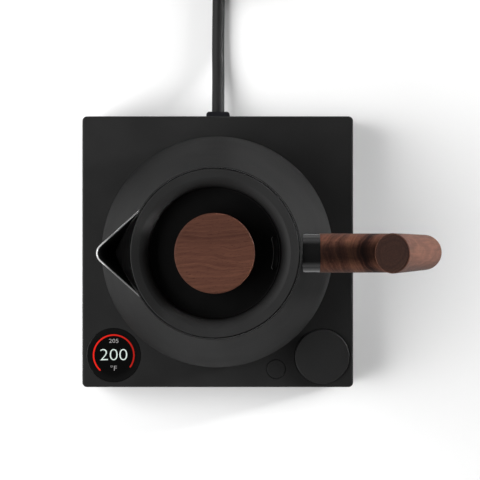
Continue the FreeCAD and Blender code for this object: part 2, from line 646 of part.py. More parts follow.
def make_boards():
    plate = board(POWER_BOARD, POWER_POSTS)
    save("power_board", plate)
    control = board(CONTROL_BOARD, CONTROL_POSTS)
    for x, y in [p for p in BASE_SCREWS if p[1] < 0]:
        control = control.cut(rod(5.0, 18, 22, x, y))
    save("control_board", control)
    posts = [(p, POWER_BOARD["z"]) for p in POWER_POSTS] + [(p, CONTROL_BOARD["z"]) for p in CONTROL_POSTS]
    screws = []
    for (x, y), z in posts:
        top = z + BOARD_THICK
        screws.append(rod(2.4, top, top + 1.5, x, y).fuse(rod(1.05, z - 4, top, x, y)).removeSplitter())
    save("board_screws", several(screws))
    z = POWER_BOARD["z"] + BOARD_THICK
    save("relay", slab(29, 13, z, z + 15.5, 0.8, -38, 52))
    save("transformer", slab(24, 20, z, z + 14.0, 0.8, 40, 48))
    caps = [rod(5.0, z, z + 14.0, 18, y) for y in (42, 54)]
    save("capacitors", several(round_ring_edges(c, 5.0, z + 14.0, 0.6) for c in caps))
    blocks = slab(26, 9, z, z + 10.0, 0.6, -8, TERMINAL_Y)
    for i in range(3):
        blocks = blocks.cut(rod(2.2, z + 5, z + 12, terminal_x(i), TERMINAL_Y))
    save("terminal_block", blocks)
    z = CONTROL_BOARD["z"] + BOARD_THICK
    buzzer = rod(6.0, z, z + 7.0, 0, -66).cut(rod(1.2, z + 3, z + 8, 0, -66))
    save("buzzer", buzzer)
    ribbon = block(24, 42, -53.5, -52.9, 12.4, CONTROL_BOARD["z"] - 0.05)
    ribbon = ribbon.fuse(block(24, 42, -53.5, POWER_BOARD["y"][0] - 0.05, 12.4, 13.0))
    save("ribbon_cable", ribbon.removeSplitter())


def make_internal_wires():
    """Leads from the cord's inner end to the terminal block, and on to the socket."""
    z_entry = POWER_BOARD["z"] + BOARD_THICK + 11.5
    y_cord = WALL_IN - 0.4 - GLAND_INSIDE
    for i, name in enumerate(("live_wire", "neutral_wire", "earth_wire")):
        x, x_in = terminal_x(i), 2.6 * (i - 1)
        inlet = wire_run([(x_in, y_cord - 0.05, GLAND_Z), (x_in, y_cord - 4.0, GLAND_Z),
                          (x_in * 1.5, 57.5, 20.5), (x_in * 2 - 2, 46.0, z_entry),
                          (x, TERMINAL_Y + 3.6, z_entry), (x, TERMINAL_Y, z_entry - 3.0),
                          (x, TERMINAL_Y, z_entry - 6.0)], 1.0)
        x_out = 2.6 * (i - 1)
        y_board = POWER_BOARD["y"][0]
        onward = wire_run([(x, y_board - 0.1, 12.8), (x, y_board - 5.0, 12.6), (x * 0.6, 14.0, 10.6),
                           (x_out, 6.0, 10.6), (x_out, 3.0, 13.4), (x_out, 3.0, 16.9)], 1.0)
        save(name, several([inlet, onward]))


# ---------------------------------------------------------------- cord
COIL_AT = (-45.0, 227.0)
COIL_OUTER = 45.0         # radius of the cord's middle in the outer turn
COIL_TOP = 16.6
CORD_START_Y = HALF - 3.0 # the cord's end inside the gland
CORD_ROUTE = [
    (0.0, CORD_START_Y, GLAND_Z), (0.0, 96.5, GLAND_Z), (0.1, 113.0, 6.6), (-0.2, 133.0, 4.3),
    (0.3, 165.0, 4.1), (0.0, 192.0, 4.0), (0.0, 213.0, 4.0),
]
TAIL_ROUTE = [
    (-33.0, 183.6, 16.5), (-22.0, 183.0, 16.0), (-9.0, 184.5, 13.5), (9.0, 184.6, 12.5),
    (25.0, 186.0, 9.2), (38.0, 186.0, 9.2),
]
PLUG_AT = TAIL_ROUTE[-1]


def make_cord():
    for name, route in (("power_cord", CORD_ROUTE), ("cord_tail", TAIL_ROUTE)):
        solid, path, radii = swept(route, CORD_R)
        ideal = math.pi * CORD_R ** 2 * path.Length
        print(name, "length", round(path.Length, 1), "radii", [round(r) for r in radii],
              "volume share", round(solid.Volume / ideal, 4))
        save(name, solid)
    x, y = COIL_AT
    coil = tube(COIL_OUTER + CORD_R, COIL_OUTER - 3 * CORD_R, 0, COIL_TOP, x, y)
    for radius in (COIL_OUTER + CORD_R, COIL_OUTER - 3 * CORD_R):
        for z in (0, COIL_TOP):
            coil = round_ring_edges(coil, radius, z, 3.2)
    save("cord_coil", coil)


def make_gland():
    """Moulded strain relief: a collar behind the base and a tapering sleeve inside it."""
    y0 = WALL_IN - 0.4
    collar = slab(15.0, 20.0, GLAND_Z - 5.2, GLAND_Z + 6.4, 2.0, 0, HALF + GLAND_OUT - 10.0)
    collar = collar.common(block(-20, 20, HALF + 0.05, HALF + GLAND_OUT, 0, 40))
    neck = rod_y(6.6, y0, HALF + 0.1, GLAND_Z)
    flange = block(-9.5, 9.5, y0 - FLANGE_THICK, y0, GLAND_Z - 6.6, GLAND_Z + 6.6)
    sleeve_length = GLAND_INSIDE - FLANGE_THICK
    sleeve = Part.makeCone(4.6, 6.2, sleeve_length, Vec(0, y0 - GLAND_INSIDE, GLAND_Z), Vec(0, 1, 0))
    body = collar.fuse([neck, flange, sleeve]).removeSplitter()
    save("cord_gland", body.cut(rod_y(CORD_R + 0.02, CORD_START_Y - 0.02, HALF + 10, GLAND_Z)))


def make_plug():
    """Moulded three-pin plug lying on its side on the table."""
    x, y, z = PLUG_AT
    relief = Part.makeCone(4.9, 6.6, 16.0, Vec(x, y, z), Vec(1, 0, 0))
    nose = x + 14.0
    width, length = 25.0, 26.0
    body = block(nose, nose + length, y - width / 2, y + width / 2, 0.3, 18.1)
    body = body.makeFillet(4.0, [e for e in body.Edges if abs(e.Vertexes[0].X - e.Vertexes[-1].X) > 1])
    body = body.makeFillet(2.0, [e for e in body.Edges if e.BoundBox.XMax < nose + 1e-3])
    grips = [block(nose + 5 + 4 * i, nose + 6.4 + 4 * i, y - 20, y - width / 2 + 0.7, 4, 14) for i in range(4)]
    grips += [block(nose + 5 + 4 * i, nose + 6.4 + 4 * i, y + width / 2 - 0.7, y + 20, 4, 14) for i in range(4)]
    body = body.fuse(relief).removeSplitter()
    for groove in grips:
        body = body.cut(groove)
    face = nose + length
    blades = []
    for side in (-1, 1):
        cy = y + side * 6.35
        blade = block(face - 8, face + 16.5, cy - 0.75, cy + 0.75, 9.0, 15.3)
        body = body.cut(block(face - 8, face + 1, cy - 0.75, cy + 0.75, 9.0, 15.3))
        blades.append(blade.cut(rod_y(1.6, cy - 2, cy + 2, 12.15, face + 12)))
    pin = rod_x(2.4, face - 8, face + 17.5, 4.0, y)
    body = body.cut(rod_x(2.4, face - 8, face + 1, 4.0, y))
    save("plug_body", body)
    save("plug_blades", several(blades))
    tip = face + 17.5
    end = [e for e in pin.Edges if e.BoundBox.XMin > tip - 1e-3]
    save("plug_earth_pin", pin.makeFillet(1.2, end))


# ---------------------------------------------------------------- build
os.makedirs("parts", exist_ok=True)
for old in os.listdir("parts"):
    if old.endswith(".step"):
        os.remove(os.path.join("parts", old))
make_kettle_shell()
make_spout()
make_kettle_floor()
make_heat_plate()
make_heating_element()
make_temperature_probe()
make_thermal_cutout()
make_bottom_cover()
make_element_leads()
make_coupler()
make_handle()
make_lid()
make_base_top()
make_base_bottom()
make_display()
make_controls()
make_socket()
make_boards()
make_internal_wires()
make_cord()
make_gland()
make_plug()
print(len(os.listdir("parts")), "nodes")
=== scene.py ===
"""Looks of the cordless electric kettle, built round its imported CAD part.

Lengths are in metres, except in the walnut's growth rings and the cord, which are in mm."""

import bmesh
import bpy
import math
from mathutils import Euler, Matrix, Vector


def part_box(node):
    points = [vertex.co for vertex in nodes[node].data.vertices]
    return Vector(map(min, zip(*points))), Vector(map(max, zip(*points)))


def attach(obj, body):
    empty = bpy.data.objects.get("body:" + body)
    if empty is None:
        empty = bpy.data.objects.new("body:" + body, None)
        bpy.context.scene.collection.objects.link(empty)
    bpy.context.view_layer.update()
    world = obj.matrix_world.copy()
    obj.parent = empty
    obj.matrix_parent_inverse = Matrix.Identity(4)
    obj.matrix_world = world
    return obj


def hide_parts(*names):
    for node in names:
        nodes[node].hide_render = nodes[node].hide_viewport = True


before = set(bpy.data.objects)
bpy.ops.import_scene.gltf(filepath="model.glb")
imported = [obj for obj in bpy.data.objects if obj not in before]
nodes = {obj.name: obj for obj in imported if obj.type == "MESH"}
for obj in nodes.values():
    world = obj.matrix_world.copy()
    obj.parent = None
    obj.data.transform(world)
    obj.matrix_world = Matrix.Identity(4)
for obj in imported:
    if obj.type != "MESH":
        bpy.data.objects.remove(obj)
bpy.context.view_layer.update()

MM = 0.001
CAMERA_AT = (0.0141, 0.0074, 1.150)
BASE_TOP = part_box("base_top_cover")[1].z
PICTURE_WIDTH = 0.3037           # across the picture, at the height of the base's top face
GRIP_LEAN = math.radians(18.5)
GRIP_TOP = Vector((0.0982, 0.0, 0.174))
DISPLAY_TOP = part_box("display_lens")[1].z
DISPLAY_CENTRE = sum(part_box("display_lens"), Vector()) / 2
LID_FLOOR = 0.149                # height of the floor of the lid's well, at rest
RIM_HEIGHT = 0.163               # height of the shell's rim, at rest
WALL_LIGHT = 0.90
CEILING_LIGHT = 0.06
WALLS_END = 0.22                 # sine of the elevation that the plain walls reach
CEILING_START = 0.60             # sine of the elevation where the plain ceiling starts


# ---------------------------------------------------------------- camera, lights, floor
def make_camera():
    data = bpy.data.cameras.new("camera")
    data.sensor_width = 36.0
    data.lens = data.sensor_width * (CAMERA_AT[2] - BASE_TOP) / PICTURE_WIDTH
    data.clip_end = 20.0
    camera = bpy.data.objects.new("camera", data)
    camera.location = CAMERA_AT
    bpy.context.collection.objects.link(camera)
    bpy.context.scene.camera = camera


def area_light(name, location, size, power, target=(0.0, 0.0, 0.05), spread=math.pi):
    data = bpy.data.lights.new(name, "AREA")
    data.shape = "RECTANGLE"
    data.size, data.size_y = size
    data.energy = power
    data.spread = spread
    light = bpy.data.objects.new(name, data)
    light.location = location
    aim = Vector(target) - Vector(location)
    light.rotation_euler = aim.to_track_quat("-Z", "Y").to_euler()
    bpy.context.collection.objects.link(light)


def make_lights():
    area_light("key", location=(-1.05, -0.06, 0.98), size=(1.4, 1.1), power=34.0)
    area_light("right_fill", location=(1.30, 0.55, 0.36), size=(0.6, 0.5), power=15.0)
    area_light("right_beam", location=(1.30, 0.35, 0.30), size=(0.25, 0.25), power=0.42,
               target=(0.03, 0.0, 0.10), spread=math.radians(14))
    make_studio_walls()
    bpy.context.scene.view_settings.view_transform = "Standard"


def make_studio_walls():
    """Surroundings of a table studio: pale walls, and a dark ceiling round the camera."""
    world = bpy.data.worlds.new("studio")
    world.use_nodes = True
    tree = world.node_tree
    here = tree.nodes.new("ShaderNodeTexCoord")
    split = tree.nodes.new("ShaderNodeSeparateXYZ")
    ramp = tree.nodes.new("ShaderNodeValToRGB")
    tree.links.new(here.outputs["Generated"], split.inputs[0])
    tree.links.new(split.outputs["Z"], ramp.inputs["Fac"])
    elements = ramp.color_ramp.elements
    elements[0].position = WALLS_END
    elements[0].color = (*grey(WALL_LIGHT), 1.0)
    elements[1].position = CEILING_START
    elements[1].color = (*grey(CEILING_LIGHT), 1.0)
    background = tree.nodes["Background"]
    tree.links.new(ramp.outputs["Color"], background.inputs["Color"])
    background.inputs["Strength"].default_value = 1.0
    bpy.context.scene.world = world


def make_floor():
    mesh = bpy.data.meshes.new("floor")
    half = 4.0
    corners = [(-half, -half, 0), (half, -half, 0), (half, half, 0), (-half, half, 0)]
    mesh.from_pydata(corners, [], [(0, 1, 2, 3)])
    floor = bpy.data.objects.new("floor", mesh)
    bpy.context.collection.objects.link(floor)
    look = Finish("studio_floor")
    look.colour(look.ramp(look.noise(3.0), (0.3, grey(0.86)), (0.7, grey(0.88))))
    look.set(Roughness=0.9)
    mesh.materials.append(look.material)


# ---------------------------------------------------------------- node materials
class Finish:
    """A node material under construction. Its coordinates are the object's own, in metres."""

    def __init__(self, name):
        self.material = bpy.data.materials.new(name)
        self.material.use_nodes = True
        self.tree = self.material.node_tree
        self.shader = self.tree.nodes["Principled BSDF"]
        self.here = self.node("ShaderNodeTexCoord").outputs["Object"]

    def node(self, kind, inputs=None, **settings):
        made = self.tree.nodes.new(kind)
        for key, value in settings.items():
            setattr(made, key, value)
        for key, value in (inputs or {}).items():
            if isinstance(value, bpy.types.NodeSocket):
                self.tree.links.new(value, made.inputs[key])
            else:
                made.inputs[key].default_value = value
        return made

    def set(self, **values):
        """Constants on the shader's own sockets; an underscore in a name is a space."""
        for key, value in values.items():
            self.shader.inputs[key.replace("_", " ")].default_value = value

    def link(self, value, name):
        self.tree.links.new(value, self.shader.inputs[name])

    def colour(self, value):
        self.link(value, "Base Color")

    def stretched(self, where, stretch):
        return self.node("ShaderNodeMapping", {"Vector": where, "Scale": stretch}).outputs[0]

    def noise(self, scale, detail=3.0, stretch=None, where=None):
        where = where or self.here
        if stretch:
            where = self.stretched(where, stretch)
        return self.node("ShaderNodeTexNoise", {
            "Vector": where, "Scale": scale, "Detail": detail}).outputs[0]

    def part(self, output, axis):
        """One axis of the object's own coordinates ("Object") or of its normal ("Normal")."""
        whole = self.node("ShaderNodeTexCoord").outputs[output]
        return self.node("ShaderNodeSeparateXYZ", {0: whole}).outputs[axis]

    def base_colour(self):
        return self.shader.inputs["Base Color"].links[0].from_socket

    def math(self, operation, a, b=0.0):
        return self.node("ShaderNodeMath", {0: a, 1: b}, operation=operation).outputs[0]

    def ramp(self, value, *stops):
        made = self.node("ShaderNodeValToRGB", {"Fac": value})
        elements = made.color_ramp.elements
        while len(elements) < len(stops):
            elements.new(0.5)
        for element, (position, colour) in zip(elements, stops):
            element.position = position
            element.color = (*colour, 1.0)
        return made.outputs[0]

    def mixed(self, share, a, b):
        made = self.node("ShaderNodeMix", data_type="RGBA")
        for socket, value in ((made.inputs[0], share), (made.inputs[6], a), (made.inputs[7], b)):
            if isinstance(value, bpy.types.NodeSocket):
                self.tree.links.new(value, socket)
            elif isinstance(value, tuple):
                socket.default_value = (*value, 1.0)
            else:
                socket.default_value = value
        return made.outputs[2]

    def ranged(self, value, low=0.0, high=1.0, start=0.0, end=1.0):
        """A value's stretch from start to end, taken to low to high and held beyond."""
        return self.node("ShaderNodeMapRange", {
            "Value": value, "From Min": start, "From Max": end,
            "To Min": low, "To Max": high}).outputs[0]

    def bump(self, height, depth, strength=1.0):
        inputs = {"Height": height, "Distance": depth, "Strength": strength}
        return self.node("ShaderNodeBump", inputs).outputs[0]


FINE_SHARE = 0.45                # of the fine grain in a moulded surface's tone
PATCH_SCALE = 45.0               # of the soft patches in it


def grained(name, dark, light, rough, grain=2600.0, depth=0.00002, specular=0.5,
            rough_spread=0.08):
    """Moulded plastic or a fine coat: soft patches of tone, a fine grain and a grainy bump."""
    look = Finish(name)
    fine = look.noise(grain, 2.0)
    soft = look.noise(PATCH_SCALE, 4.0)
    tone = look.math("ADD", look.math("MULTIPLY", fine, FINE_SHARE),
                     look.math("MULTIPLY", soft, 1 - FINE_SHARE))
    look.colour(look.ramp(tone, (0.36, dark), (0.64, light)))
    look.link(look.ranged(soft, rough - rough_spread, rough + rough_spread), "Roughness")
    look.link(look.bump(fine, depth), "Normal")
    look.set(Specular_IOR_Level=specular)
    return look


def grey(level, warmth=0.0):
    return (level * (1 + warmth), level, level * (1 - warmth))


def brushed(name, dark, light, rough, stretch=(60.0, 60.0, 2600.0)):
    """Brushed metal: fine streaks across the stretched axis."""
    look = Finish(name)
    streaks = look.noise(1.0, 3.0, stretch=stretch)
    soft = look.noise(35.0, 3.0)
    look.colour(look.ramp(look.math("MULTIPLY", look.math("ADD", streaks, soft), 0.5),
                          (0.38, dark), (0.62, light)))
    look.link(look.ranged(streaks, rough - 0.08, rough + 0.12), "Roughness")
    look.link(look.bump(streaks, 0.00001), "Normal")
    look.set(Metallic=1.0)
    return look


WANDER_REACH = 0.011             # how far the rings wander from round
BAND_SHARE = 0.50                # weight of the fine irregular bands
STREAK_SHARE = 0.30              # weight of the long streaks
PORE_START = 0.65                # noise above this is a pore
PORE_SHARE = 0.4                 # how far a pore goes to the darkest tone
END_START = 0.72                 # how squarely a face meets the grain where end grain starts
END_FULL = 0.92                  # and where it is full
END_GRAIN = 0.25                 # how dark walnut's end grain is beside its long grain
RING_SPAN = 45.0                 # mm from the pith covered by the growth rings
GRIP_RINGS = ((0, 0.46), (4, 0.56), (9, 0.52), (14, 0.64), (16, 0.32), (18, 0.04), (20.5, 0.36),
              (23, 0.68), (27, 0.80), (29, 0.56), (31, 0.28), (33, 0.72), (35.5, 0.32),
              (38, 0.62), (45, 0.56))
KNOB_RINGS = ((0, 0.60), (22, 0.66), (27, 0.44), (31, 0.56), (38, 0.36), (45, 0.62))
WALNUT_TONES = (
    (0.24, (0.0120, 0.0044, 0.0030)),
    (0.40, (0.0400, 0.0160, 0.0105)),
    (0.55, (0.0690, 0.0280, 0.0180)),
    (0.74, (0.1150, 0.0500, 0.0285)),
)


def walnut(name, pith, lean, rings, contrast, light=1.0, seed=(0.0, 0.0, 0.0)):
    """Solid walnut grown round a pith line. rings lists a distance from the pith in mm and the
    wood's tone there, dark 0 to light 1. Finer irregular bands, veins and pores lie between."""
    look = Finish(name)
    local = look.node("ShaderNodeMapping", {
        "Vector": look.here, "Location": pith, "Rotation": lean}, vector_type="TEXTURE").outputs[0]
    moved = look.node("ShaderNodeVectorMath", {0: local, 1: seed}, operation="ADD").outputs[0]
    wander = look.node("ShaderNodeTexNoise", {
        "Vector": look.stretched(moved, (1.0, 1.0, 0.35)), "Scale": 60.0, "Detail": 2.5})
    push = look.node("ShaderNodeVectorMath", {0: wander.outputs["Color"], 1: (0.5, 0.5, 0.5)},
                     operation="SUBTRACT").outputs[0]
    push = look.node("ShaderNodeVectorMath", {0: push, "Scale": WANDER_REACH},
                     operation="SCALE").outputs[0]
    bent = look.node("ShaderNodeVectorMath", {0: local, 1: push}, operation="ADD").outputs[0]
    flat = look.node("ShaderNodeVectorMath", {0: bent, 1: (1.0, 1.0, 0.0)},
                     operation="MULTIPLY").outputs[0]
    radius = look.node("ShaderNodeVectorMath", {0: flat}, operation="LENGTH").outputs["Value"]

    reach = look.math("MULTIPLY", radius, 1 / (RING_SPAN * MM))
    broad = look.ramp(reach, *[(distance / RING_SPAN, grey(tone)) for distance, tone in rings])
    broad = look.math("SUBTRACT", broad, 0.5)
    patches = look.ranged(look.noise(28.0, 2.0, where=moved), 0.15, 0.95)
    broad = look.math("MULTIPLY", broad, patches)
    bands = look.node("ShaderNodeTexNoise", {
        "W": look.math("MULTIPLY", radius, 700.0), "Scale": 1.0, "Detail": 4.0, "Roughness": 0.65},
        noise_dimensions="1D").outputs[0]
    bands = look.math("MULTIPLY", look.math("SUBTRACT", bands, 0.5), BAND_SHARE)
    streaks = look.noise(1.0, 3.0, stretch=(900.0, 900.0, 42.0), where=moved)
    streaks = look.math("MULTIPLY", look.math("SUBTRACT", streaks, 0.5), STREAK_SHARE)
    figure = look.math("ADD", look.math("ADD", bands, broad), streaks)
    tone = look.math("ADD", look.math("MULTIPLY", figure, contrast), 0.5)
    wood = look.ramp(tone, *WALNUT_TONES)

    pores = look.noise(1.0, 1.0, stretch=(3400.0, 3400.0, 150.0), where=moved)
    pore_mask = look.math("GREATER_THAN", pores, PORE_START)
    wood = look.mixed(look.math("MULTIPLY", pore_mask, PORE_SHARE), wood, WALNUT_TONES[0][1])
    ends = look.math("ABSOLUTE", look.node("ShaderNodeVectorMath", {
        0: look.node("ShaderNodeTexCoord").outputs["Normal"], 1: grain_direction(lean)},
        operation="DOT_PRODUCT").outputs["Value"])
    shade = look.ranged(ends, light, END_GRAIN * light, start=END_START, end=END_FULL)
    look.colour(look.node("ShaderNodeVectorMath", {0: wood, "Scale": shade},
                          operation="SCALE").outputs[0])
    look.link(look.ranged(tone, 0.62, 0.50), "Roughness")
    height = look.math("SUBTRACT", streaks, look.math("MULTIPLY", pore_mask, 0.5))
    look.link(look.bump(height, 0.00005, 0.6), "Normal")
    look.set(Specular_IOR_Level=0.06)
    return look


def grain_direction(lean):
    """The pith line's direction after its lean, as the mapping node turns it."""
    return tuple(Euler(lean).to_matrix() @ Vector((0.0, 0.0, 1.0)))


RIM_HIGHLIGHT_BAND = 0.001                 # how far down from the rim its painted highlight reaches


def black_coat(name):
    """The kettle's matte black coat."""
    return grained(name, grey(0.0072), grey(0.0100), 0.62, specular=0.03)


def shell_look():
    """Black coat outside, with a painted highlight on the rim's top, and bare brushed steel on the
    faces that look towards the kettle's axis."""
    look = black_coat("shell_black_coat")
    facing = look.node("ShaderNodeVectorMath", {
        0: look.node("ShaderNodeTexCoord").outputs["Normal"],
        1: look.node("ShaderNodeVectorMath", {0: look.here, 1: (1.0, 1.0, 0.0)},
                     operation="MULTIPLY").outputs[0],
    }, operation="DOT_PRODUCT").outputs["Value"]
    inside = look.math("LESS_THAN", facing, -0.02)
    streaks = look.noise(1.0, 3.0, stretch=(90.0, 90.0, 2400.0))
    steel = look.ramp(streaks, (0.35, grey(0.40)), (0.65, grey(0.58)))
    # painted highlight: the rim's upward faces are a lighter grey than the coat
    rim = look.math("MULTIPLY", look.math("GREATER_THAN", look.part("Normal", "Z"), 0.7),
                    look.math("GREATER_THAN", look.part("Object", "Z"), RIM_HEIGHT - RIM_HIGHLIGHT_BAND))
    coat = look.mixed(rim, look.base_colour(), grey(0.019))
    look.colour(look.mixed(inside, coat, steel))
    look.link(inside, "Metallic")
    return look


SPOUT_TIP = -0.066               # on the X axis, as is the next
# painted highlight: where the bare edge starts to brighten, and its grey at the tip
TIP_HIGHLIGHT_START = -0.058
EDGE_GREY = 0.28                 # of the sheet's bare edge
TIP_HIGHLIGHT_GREY = 0.9


def spout_look():
    """Black coat with the sheet's bare edge along the top, and a painted highlight brightening that
    edge towards the tip.
    """
    look = black_coat("spout_black_coat")
    edge = look.math("GREATER_THAN", look.part("Normal", "Z"), 0.75)
    scratches = look.noise(900.0, 2.0)
    # painted highlight: the edge's grey rises from the bare edge's grey to the tip's
    tip_highlight = look.ranged(look.part("Object", "X"), EDGE_GREY, TIP_HIGHLIGHT_GREY,
                         start=TIP_HIGHLIGHT_START, end=SPOUT_TIP)
    shade = look.math("MULTIPLY", tip_highlight, look.ranged(scratches, 0.8, 1.2))
    steel = look.node("ShaderNodeCombineColor", {0: shade, 1: shade, 2: shade}).outputs[0]
    look.colour(look.mixed(edge, look.base_colour(), steel))
    look.link(edge, "Metallic")
    return look


DARKEST_TO = LID_FLOOR + 0.0001  # heights in the lid's well, where the painted shade turns from one black into the next
DEEP_FROM = LID_FLOOR + 0.0012
DEEP_TO = LID_FLOOR + 0.0035
MATTE_FROM = LID_FLOOR + 0.0115
SLOT_HIGHLIGHT_TOP = LID_FLOOR + 0.00003


def lid_look():
    """Fine matte black on the shoulder, a smoother, darker black floor in the well with painted
    shade darkening the wall down to it, and a painted highlight on the steam slot's inner edge."""
    look = grained("lid_black", grey(0.0130), grey(0.0170), 0.55, specular=0.12)
    height = look.part("Object", "Z")
    # painted shade: the colour darkens down the well's wall towards its darker floor
    share = look.ranged(height, start=DEEP_TO, end=MATTE_FROM)
    wall = look.ranged(height, start=DARKEST_TO, end=DEEP_FROM)
    matte = look.base_colour()
    clouds = look.noise(60.0, 3.0)
    floor = look.ramp(clouds, (0.35, grey(0.0021)), (0.65, grey(0.0030)))
    painted_wall_shade = look.ramp(clouds, (0.35, grey(0.0048)), (0.65, grey(0.0062)))
    colour = look.mixed(share, look.mixed(wall, floor, painted_wall_shade), matte)

    # painted highlight: the slot's inner edge, facing +X, is a light grey
    outward = look.part("Normal", "X")
    slot_edge_highlight = look.math("MULTIPLY", look.math("GREATER_THAN", outward, 0.4),
                          look.math("LESS_THAN", outward, 0.9))
    slot_edge_highlight = look.math("MULTIPLY", slot_edge_highlight, look.math("LESS_THAN", height, SLOT_HIGHLIGHT_TOP))
    look.colour(look.mixed(slot_edge_highlight, colour, grey(0.45)))
    rough = look.shader.inputs["Roughness"].links[0].from_socket
    look.link(look.math("MULTIPLY", rough, look.ranged(share, 0.6, 1.0)), "Roughness")
    return look


FADE_START, FADE_END = -0.008, 0.014    # across the display, from its middle


def lit(name, colour, strength, unevenness=0.12, right_side=1.0):
    """Lit display segment with a faint unevenness, dimming to right_side across the display."""
    look = Finish(name)
    glow = look.noise(1400.0, 1.0)
    dim = tuple(c * (1 - unevenness) for c in colour)
    tint = look.ramp(glow, (0.35, dim), (0.65, colour))
    fade = look.ranged(look.part("Object", "X"), 1.0, right_side, start=FADE_START, end=FADE_END)
    tint = look.node("ShaderNodeVectorMath", {0: tint, "Scale": fade},
                     operation="SCALE").outputs[0]
    look.colour(look.ramp(glow, (0.35, grey(0.004)), (0.65, grey(0.006))))
    look.link(tint, "Emission Color")
    look.set(Emission_Strength=strength, Roughness=0.5, Specular_IOR_Level=0.02)
    return look


SCREEN_RADIUS = 0.0120
LENS_RIM_RADIUS = 0.0155


def lens_look():
    """Smoked black glass, deeper black over the screen than round its rim."""
    look = grained("lens_black", grey(0.0036), grey(0.0048), 0.14, depth=0.0000005,
                   rough_spread=0.03, specular=0.3)
    level = (DISPLAY_CENTRE.x, DISPLAY_CENTRE.y, 0.0)
    flat = look.node("ShaderNodeVectorMath", {0: look.here, 1: (1.0, 1.0, 0.0)},
                     operation="MULTIPLY").outputs[0]
    radius = look.node("ShaderNodeVectorMath", {0: flat, 1: level},
                       operation="DISTANCE").outputs["Value"]
    share = look.ranged(radius, start=SCREEN_RADIUS, end=LENS_RIM_RADIUS)
    look.colour(look.mixed(share, grey(0.0018), look.base_colour()))
    return look


def make_materials():
    black = grained("base_black", grey(0.0098), grey(0.0132), 0.55, specular=0.11)
    looks = {
        "kettle_shell": shell_look(),
        "pouring_spout": spout_look(),
        "base_top_cover": black,
        "base_bottom_cover": grained("bottom_black", grey(0.014), grey(0.022), 0.5),
        "dial_knob": grained("dial_black", grey(0.0120), grey(0.0160), 0.50, specular=0.14),
        "select_button": grained("button_black", grey(0.0095), grey(0.0130), 0.52, specular=0.13),
        "lid_cover": lid_look(),
        "vent_baffle": grained("baffle_black", grey(0.006), grey(0.009), 0.5),
        "display_lens": lens_look(),
        "handle_ferrule": grained("ferrule_gloss", grey(0.0030), grey(0.0045), 0.14,
                                  depth=0.0000005, rough_spread=0.04),
        "handle_grip": walnut("walnut_grip", GRIP_TOP, (0.0, -GRIP_LEAN, 0.0), GRIP_RINGS, 1.0),
        "lid_knob": walnut("walnut_knob", (0.0, 0.040, 0.150), (0.0, math.radians(84), 0.10),
                           KNOB_RINGS, 0.58, light=1.05, seed=(0.3, 0.1, 0.2)),
        "foot_ring": grained("foot_rubber", grey(0.012), grey(0.02), 0.75, grain=1500.0),
        "cord_gland": grained("gland_black", (0.008, 0.008, 0.010), (0.012, 0.012, 0.015), 0.50,
                              specular=0.09),
        "plug_body": grained("plug_black", grey(0.012), grey(0.018), 0.42),
        "lid_gasket": grained("gasket_silicone", grey(0.30), grey(0.36), 0.55),
        "rating_label": grained("label_foil", grey(0.30), grey(0.38), 0.4, grain=900.0),
        "display_panel": lit("panel_glow", (0.02, 0.02, 0.025), 0.4),
        "temperature_probe": brushed("probe_steel", grey(0.45), grey(0.62), 0.25),
        "kettle_floor": brushed("floor_steel", grey(0.42), grey(0.60), 0.3, (2400.0, 80.0, 80.0)),
        "lid_inner_plate": brushed("plate_steel", grey(0.42), grey(0.60), 0.3, (2400.0, 80.0, 80.0)),
    }
    plastics = {                 # grey level and warmth
        "display_frame": (0.02, 0.0), "dial_encoder": (0.02, 0.0), "button_switch": (0.025, 0.0),
        "base_socket": (0.016, 0.0), "coupler_housing": (0.016, 0.0), "bottom_cover": (0.015, 0.0),
        "capacitors": (0.018, 0.0), "buzzer": (0.015, 0.0), "live_wire": (0.02, 0.0),
        "neutral_wire": (0.6, 0.02), "element_leads": (0.6, 0.02), "terminal_block": (0.4, 0.0),
        "ribbon_cable": (0.35, 0.0), "thermal_cutout": (0.6, 0.08),
    }
    for name, (level, warmth) in plastics.items():
        looks[name] = grained(name + "_look", grey(level * 0.85, warmth),
                              grey(level * 1.15, warmth), 0.48)
    tints = {
        "power_board": (0.015, 0.10, 0.04), "control_board": (0.015, 0.10, 0.04),
        "relay": (0.03, 0.10, 0.33), "transformer": (0.55, 0.38, 0.06),
        "earth_wire": (0.04, 0.24, 0.06),
    }
    for name, tint in tints.items():
        dark = tuple(c * 0.8 for c in tint)
        looks[name] = grained(name + "_look", dark, tint, 0.45, grain=1600.0)
    metals = {                   # grey level
        "base_screws": 0.5, "board_screws": 0.5, "bottom_cover_screws": 0.5, "knob_screw": 0.5,
        "handle_stud": 0.5, "handle_mount": 0.55, "heat_plate": 0.55, "heating_element": 0.35,
        "encoder_shaft": 0.5,
    }
    for name, level in metals.items():
        looks[name] = brushed(name + "_look", grey(level * 0.8), grey(level * 1.15), 0.32)
    for name in ("socket_contacts", "coupler_centre_pin", "coupler_ring_contact", "handle_insert",
                 "knob_insert", "plug_blades", "plug_earth_pin"):
        looks[name] = brushed(name + "_look", (0.50, 0.36, 0.16), (0.66, 0.50, 0.25), 0.28)
    return looks


def dress(looks):
    for name, piece in nodes.items():
        if name in looks:
            piece.data.materials.clear()
            piece.data.materials.append(looks[name].material)


# ---------------------------------------------------------------- power cord
CORD_R = 0.004                   # in metres, as is the next
COIL_AT = (-45.0, 227.0)         # in mm, as is the rest
COIL_OUTER, COIL_INNER, COIL_UPPER = 45.0, 37.0, 41.0
FLOOR_LAYER, UPPER_LAYER = 4.0, 10.95
COIL_TURN = 990                  # degrees wound from first to last
POINTS_PER_TURN = 16
TIE_ANGLE = 150                  # degrees round the coil
TIE_INSIDE, TIE_OUTSIDE, TIE_HALF_WIDTH = 4.1, 4.8, 4
TIE_INSIDE_FLOOR, TIE_OUTSIDE_FLOOR = 0.3, 0.05
TIE_STEPS = 8                    # round each strand


